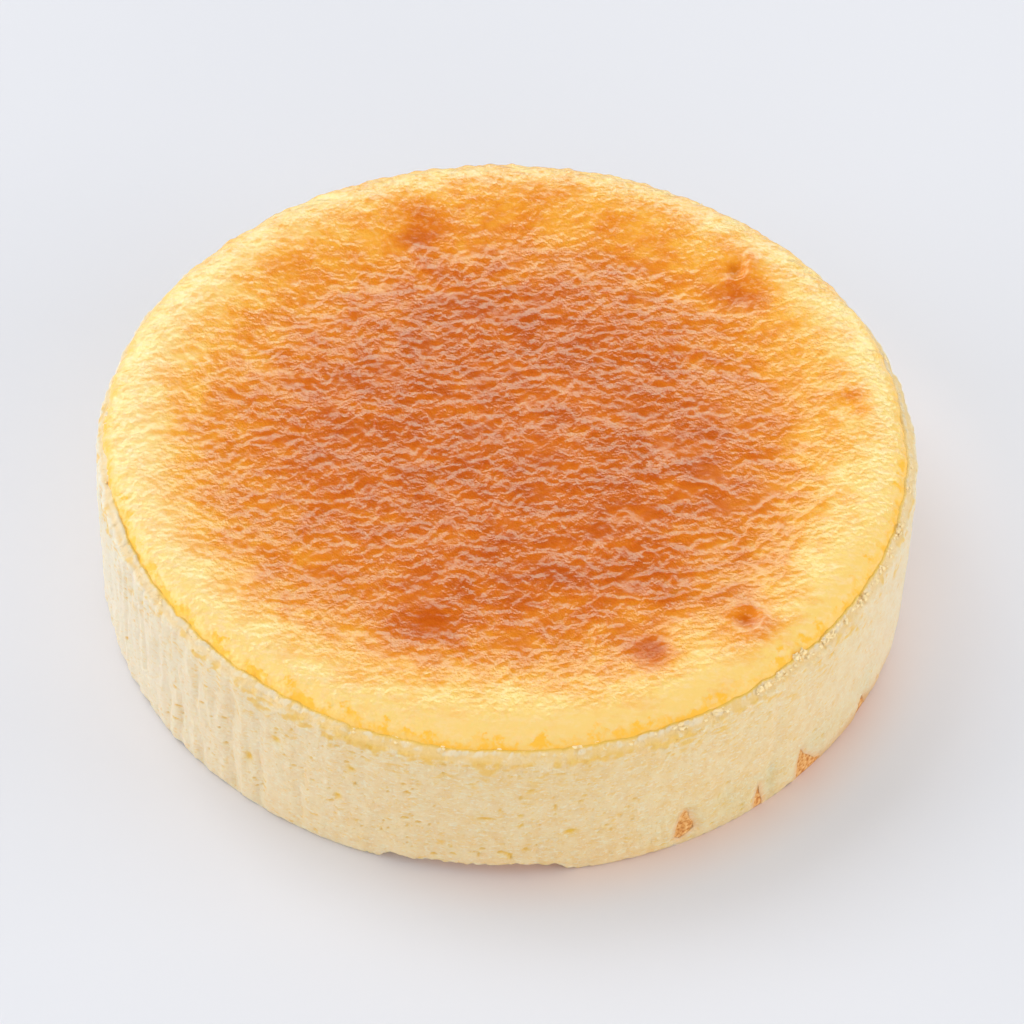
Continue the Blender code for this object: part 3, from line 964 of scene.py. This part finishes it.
class Graph:
    """A material's node tree, with short calls to add and join nodes."""

    def __init__(self, name):
        self.material = bpy.data.materials.new(name)
        self.material.use_nodes = True
        self.tree = self.material.node_tree
        self.shader = self.tree.nodes["Principled BSDF"]

    def add(self, kind, settings, *values, **inputs):
        """A new node with its inputs filled in order or by name."""
        node = self.tree.nodes.new("ShaderNode" + kind)
        for name, value in settings.items():
            setattr(node, name, value)
        for socket, value in zip(node.inputs, values):
            self.put(socket, value)
        return self.fill(node, inputs)

    def fill(self, node, inputs):
        for name, value in inputs.items():
            self.put(node.inputs[name.replace("_", " ")], value)
        return node

    def put(self, socket, value):
        """Sets a socket to a number or colour, a node's output or a mark given by its name."""
        if isinstance(value, str):
            value = self.add("Attribute", {"attribute_name": value}).outputs["Fac"]
        if isinstance(value, bpy.types.NodeSocket):
            self.tree.links.new(value, socket)
        else:
            socket.default_value = value

    def place(self):
        """Position in the cake's own frame, in millimetres."""
        return self.stretch(self.add("TexCoord", {}).outputs["Object"], (1 / METRES,) * 3)

    def stretch(self, spot, factors):
        return self.add("VectorMath", {"operation": "MULTIPLY"}, spot, factors).outputs["Vector"]

    def plus(self, first, second):
        return self.add("Math", {"operation": "ADD"}, first, second).outputs[0]

    def times(self, first, second):
        return self.add("Math", {"operation": "MULTIPLY"}, first, second).outputs[0]

    def noise(self, spot, scale, detail=2.0, roughness=0.5):
        node = self.add("TexNoise", {}, Vector=spot, Scale=scale, Detail=detail, Roughness=roughness)
        return node.outputs["Fac"]

    def remap(self, value, low, high, new_low=0.0, new_high=1.0):
        smooth = {"interpolation_type": "SMOOTHSTEP"}
        return self.add("MapRange", smooth, value, low, high, new_low, new_high).outputs["Result"]

    def ramp(self, value, stops):
        """Display colours that follow a value, each given with its place."""
        node = self.add("ValToRGB", {}, value)
        elements = node.color_ramp.elements
        for _ in stops[2:]:
            elements.new(1.0)
        for element, (place, tint) in zip(elements, stops):
            element.position = place
            element.color = colour(*tint)
        return node.outputs["Color"]

    def mix(self, share, first, second):
        node = self.add("Mix", {"data_type": "RGBA"}, share)
        self.put(node.inputs[6], first)
        self.put(node.inputs[7], second)
        return node.outputs[2]

    def lay(self, tint, *layers):
        """Lays display colours over a tint one after the other, each with its share."""
        for share, cover in layers:
            tint = self.mix(share, tint, colour(*cover))
        return tint

    def bump(self, height, distance):
        """The normal of a relief; the distance is in metres."""
        return self.add("Bump", {}, Height=height, Distance=distance, Strength=1.0).outputs["Normal"]

    def finish(self, **inputs):
        self.fill(self.shader, inputs)
        return self.material


# Display colours of the skin, with how far it has browned
SKIN_TONES = (
    (0.0, (250, 208, 116)),
    (0.25, (245, 170, 52)),
    (0.5, (232, 138, 26)),
    (0.75, (216, 110, 14)),
    (1.0, (197, 88, 8)),
)
SPONGE_TONES = ((0.32, (190, 116, 54)), (0.45, (220, 154, 80)), (0.7, (242, 200, 138)))
# Painted shadow and light on the floor: direction, radii between which it dies away, strength and colour;
# the first is a warm painted shadow, the second a paler painted patch that lifts the shade
PAINTED_FLOOR_SHADOW_AND_LIGHT = (
    ((0.64, -0.77, 0.0), (68.0, 86.0), 0.8, (0.82, 0.58, 0.46, 1.0)),
    ((0.9, 0.44, 0.0), (76.0, 104.0), 0.7, (0.9, 0.86, 0.88, 1.0)),
)
PAINTED_FLOOR_SPREAD = (35.0, 74.0)  # distances along the direction over which each painted patch comes in


def skin_material():
    graph = Graph("browned_skin")
    spot = graph.place()
    mottle = graph.noise(graph.stretch(spot, (0.7, 1.0, 1.0)), 0.22, detail=4.0, roughness=0.6)
    level = graph.plus("browning", graph.remap(mottle, 0.3, 0.7, -0.13, 0.13))
    ragged = graph.noise(spot, 0.8, detail=3.0)
    inset = graph.plus("inset", graph.remap(ragged, 0.3, 0.7, -0.45, 0.45))
    stray = graph.noise(spot, 0.32, detail=3.0, roughness=0.65)
    inset = graph.plus(inset, graph.remap(stray, 0.46, 0.72, 0.0, -2.6))
    fleck = graph.noise(graph.stretch(spot, (0.9, 1.5, 1.0)), 0.9, roughness=0.6)
    streak = graph.noise(graph.stretch(spot, (0.6, 1.0, 1.6)), 0.7, detail=4.0, roughness=0.7)
    streak = graph.remap(streak, 0.44, 0.68, 0.0, 0.6)
    # Painted shade along the crease, broken up by noise
    painted_crease_shade = graph.times(graph.remap(inset, -0.1, 1.5, 1.0, 0.0), "painted_crease_shade")
    broken = graph.noise(spot, 0.3, detail=3.0, roughness=0.6)
    tint = graph.lay(
        graph.ramp(level, SKIN_TONES),
        # Painted sheen on the left of the rim, together with the pale flake's own colour
        ("pale_flake_and_left_sheen", (255, 228, 166)),
        # Painted glints: pale dashes near the rim
        (graph.times(graph.remap(fleck, 0.5, 0.64), "fleck"), (255, 214, 162)),
        (graph.times(streak, graph.remap(inset, 4.0, 10.0, 1.0, 0.0)), (252, 216, 162)),
        # Painted light on the front of the rim
        ("front", (240, 206, 130)),
        # Painted crease shade, in a deep orange
        (graph.times(painted_crease_shade, graph.remap(broken, 0.4, 0.56, 0.4, 1.0)), (255, 190, 54)),
    )
    grain = graph.times(graph.noise(spot, 0.8), "lively")
    return graph.finish(
        Base_Color=tint,
        Roughness=0.22,
        Specular_IOR_Level=graph.remap("dry", 0.0, 1.0, 0.5, 0.12),
        Subsurface_Weight=graph.remap("inset", 0.3, 1.8, 0.0, 0.5),
        Subsurface_Radius=(1.0, 0.7, 0.45),
        Subsurface_Scale=0.0014,
        Normal=graph.bump(grain, 0.00045),
    )


def cheese_material():
    graph = Graph("baked_cheese")
    spot = graph.place()
    flattened = graph.stretch(spot, (1.0, 1.0, 1.9))
    mottle = graph.noise(spot, 0.35, detail=4.0, roughness=0.6)
    speck = graph.noise(flattened, 1.1, roughness=0.6)
    fleck = graph.noise(flattened, 0.9, detail=3.0, roughness=0.65)
    tint = graph.lay(
        colour(255, 223, 172),
        (graph.remap(mottle, 0.35, 0.7), (251, 210, 146)),
        # Painted light on the left and right of the side
        ("pale", (255, 237, 214)),
        (graph.remap(speck, 0.54, 0.7, 0.0, 0.5), (255, 204, 96)),
        (graph.remap(fleck, 0.54, 0.64, 0.0, 0.7), (255, 236, 206)),
        (graph.times("spots", 0.8), (255, 202, 94)),
        (graph.times("pore", 0.9), (255, 202, 80)),
        ("thin", (240, 190, 132)),
        # Painted light on the shaded ledge
        ("ledge", (255, 220, 152)),
        # Painted crease shade under the skin
        ("edge", (255, 208, 88)),
        (graph.remap("flake", 0.05, 0.6), (255, 232, 192)),
    )
    crumb = graph.noise(spot, 1.3, detail=4.0, roughness=0.75)
    return graph.finish(
        Base_Color=tint,
        Roughness=0.62,
        Subsurface_Weight=graph.remap("dense", 0.0, 1.0, 0.6, 0.0),
        Subsurface_Radius=(1.0, 0.8, 0.6),
        Subsurface_Scale=0.0012,
        Normal=graph.bump(crumb, 0.0007),
    )


def crumb_material():
    graph = Graph("pale_crumb")
    speck = graph.noise(graph.place(), 1.2)
    tint = graph.lay(colour(252, 222, 162), (speck, (255, 234, 188)))
    normal = graph.bump(speck, 0.0002)
    return graph.finish(Base_Color=tint, Roughness=0.9, Specular_IOR_Level=0.2, Normal=normal)


def sponge_material():
    graph = Graph("sponge")
    speck = graph.noise(graph.place(), 1.4, detail=3.0)
    tint = graph.ramp(speck, SPONGE_TONES)
    return graph.finish(Base_Color=tint, Roughness=0.85, Normal=graph.bump(speck, 0.0002))


def floor_material():
    """Pale, with a faint painted warm shadow on the floor round the cake's foot, and a paler painted
    patch that lifts the shade at its right.
    """
    graph = Graph("pale_floor")
    spot = graph.place()
    cloud = graph.noise(spot, 0.002)
    tint = graph.mix(cloud, (0.735, 0.735, 0.765, 1.0), (0.755, 0.755, 0.785, 1.0))
    away = graph.add("VectorMath", {"operation": "LENGTH"}, spot).outputs["Value"]
    for direction, (near, far), strength, painted_tint in PAINTED_FLOOR_SHADOW_AND_LIGHT:
        side = graph.add("VectorMath", {"operation": "DOT_PRODUCT"}, spot, direction)
        comes_in = graph.remap(side.outputs["Value"], *PAINTED_FLOOR_SPREAD)
        tint = graph.mix(graph.times(graph.remap(away, near, far, strength, 0.0), comes_in), tint, painted_tint)
    return graph.finish(Base_Color=tint, Roughness=0.6, Specular_IOR_Level=0.0)


# ---------------- stage, light and camera

FLOOR_SIZE = 6.0  # metres
# Area lights that face the cake: name, azimuth, elevation, distance and size in metres, watts,
# tint, and whether it is only mirrored (True) or only lights matte surfaces (False)
LIGHTS = (
    ("back_softbox", 95, 26, 1.6, (2.6, 0.95), 31.5, (0.52, 0.95, 0.84), True),
    ("left_softbox", 175, 30, 1.5, (1.2, 0.9), 7.0, (0.6, 0.93, 0.84), True),
    ("left_fill", 182, 12, 3.0, (2.0, 0.8), 30.0, (1.0, 0.98, 0.96), False),
    ("key_softbox", 138, 52, 3.0, (1.6, 1.6), 26.0, (1.0, 1.0, 1.0), False),
    ("front_fill", 290, 12, 3.0, (2.5, 0.8), 18.0, (1.0, 0.97, 0.93), False),
    ("right_fill", 354, 18, 3.0, (2.0, 0.8), 23.0, (1.0, 0.97, 0.93), False),
)
ROOM_TINT = (0.93, 0.965, 1.0, 1.0)
ROOM_LIGHT = 0.78  # strength of the room's light
ROOM_MIRRORED = 0.035  # its strength where the cake mirrors it


def add_floor():
    bpy.ops.mesh.primitive_plane_add(size=FLOOR_SIZE)
    floor = bpy.context.object
    floor.name = "floor"
    floor.data.materials.append(floor_material())


def add_light(name, azimuth, elevation, distance, size, watts, tint, mirrored):
    data = bpy.data.lights.new(name, "AREA")
    data.shape = "RECTANGLE"
    data.size, data.size_y = size
    data.energy = watts
    data.color = tint
    turn, rise = math.radians(azimuth), math.radians(elevation)
    light = bpy.data.objects.new(name, data)
    away = Vector((math.cos(turn) * math.cos(rise), math.sin(turn) * math.cos(rise), math.sin(rise)))
    light.location = away * distance
    light.rotation_euler = away.to_track_quat("Z", "Y").to_euler()
    light.visible_camera = False
    light.visible_glossy = mirrored
    light.visible_diffuse = not mirrored
    bpy.context.scene.collection.objects.link(light)


def add_world():
    world = bpy.data.worlds.new("soft_room")
    world.use_nodes = True
    tree = world.node_tree
    background = tree.nodes["Background"]
    background.inputs["Color"].default_value = ROOM_TINT
    path = tree.nodes.new("ShaderNodeLightPath")
    dim = tree.nodes.new("ShaderNodeMapRange")
    dim.inputs["To Min"].default_value = ROOM_LIGHT
    dim.inputs["To Max"].default_value = ROOM_MIRRORED
    tree.links.new(path.outputs["Is Glossy Ray"], dim.inputs["Value"])
    tree.links.new(dim.outputs["Result"], background.inputs["Strength"])
    bpy.context.scene.world = world


CAMERA_LENS = 142.44
CAMERA_SENSOR = 36.0
CAMERA_DISTANCE = 750.0
CAMERA_ELEVATION = 47.33
CAMERA_ROLL = -1.951
CAMERA_TARGET = (1.204, -3.441, 16.5)


def add_camera():
    data = bpy.data.cameras.new("camera")
    data.sensor_width = CAMERA_SENSOR
    data.lens = CAMERA_LENS
    camera = bpy.data.objects.new("camera", data)
    rise = math.radians(CAMERA_ELEVATION)
    away = Vector((0, -math.cos(rise), math.sin(rise))) * CAMERA_DISTANCE
    camera.location = (Vector(CAMERA_TARGET) + away) * METRES
    camera.rotation_mode = "QUATERNION"
    look = (-away).to_track_quat("-Z", "Y")
    camera.rotation_quaternion = look @ Quaternion((0, 0, 1), -math.radians(CAMERA_ROLL))
    bpy.context.scene.collection.objects.link(camera)
    bpy.context.scene.camera = camera


def main():
    add_skin(skin_material())
    add_side(cheese_material())
    add_crumbs(crumb_material())
    add_sponge(sponge_material())
    add_floor()
    for light in LIGHTS:
        add_light(*light)
    add_world()
    add_camera()
    bpy.context.scene.view_settings.view_transform = "Standard"


main()
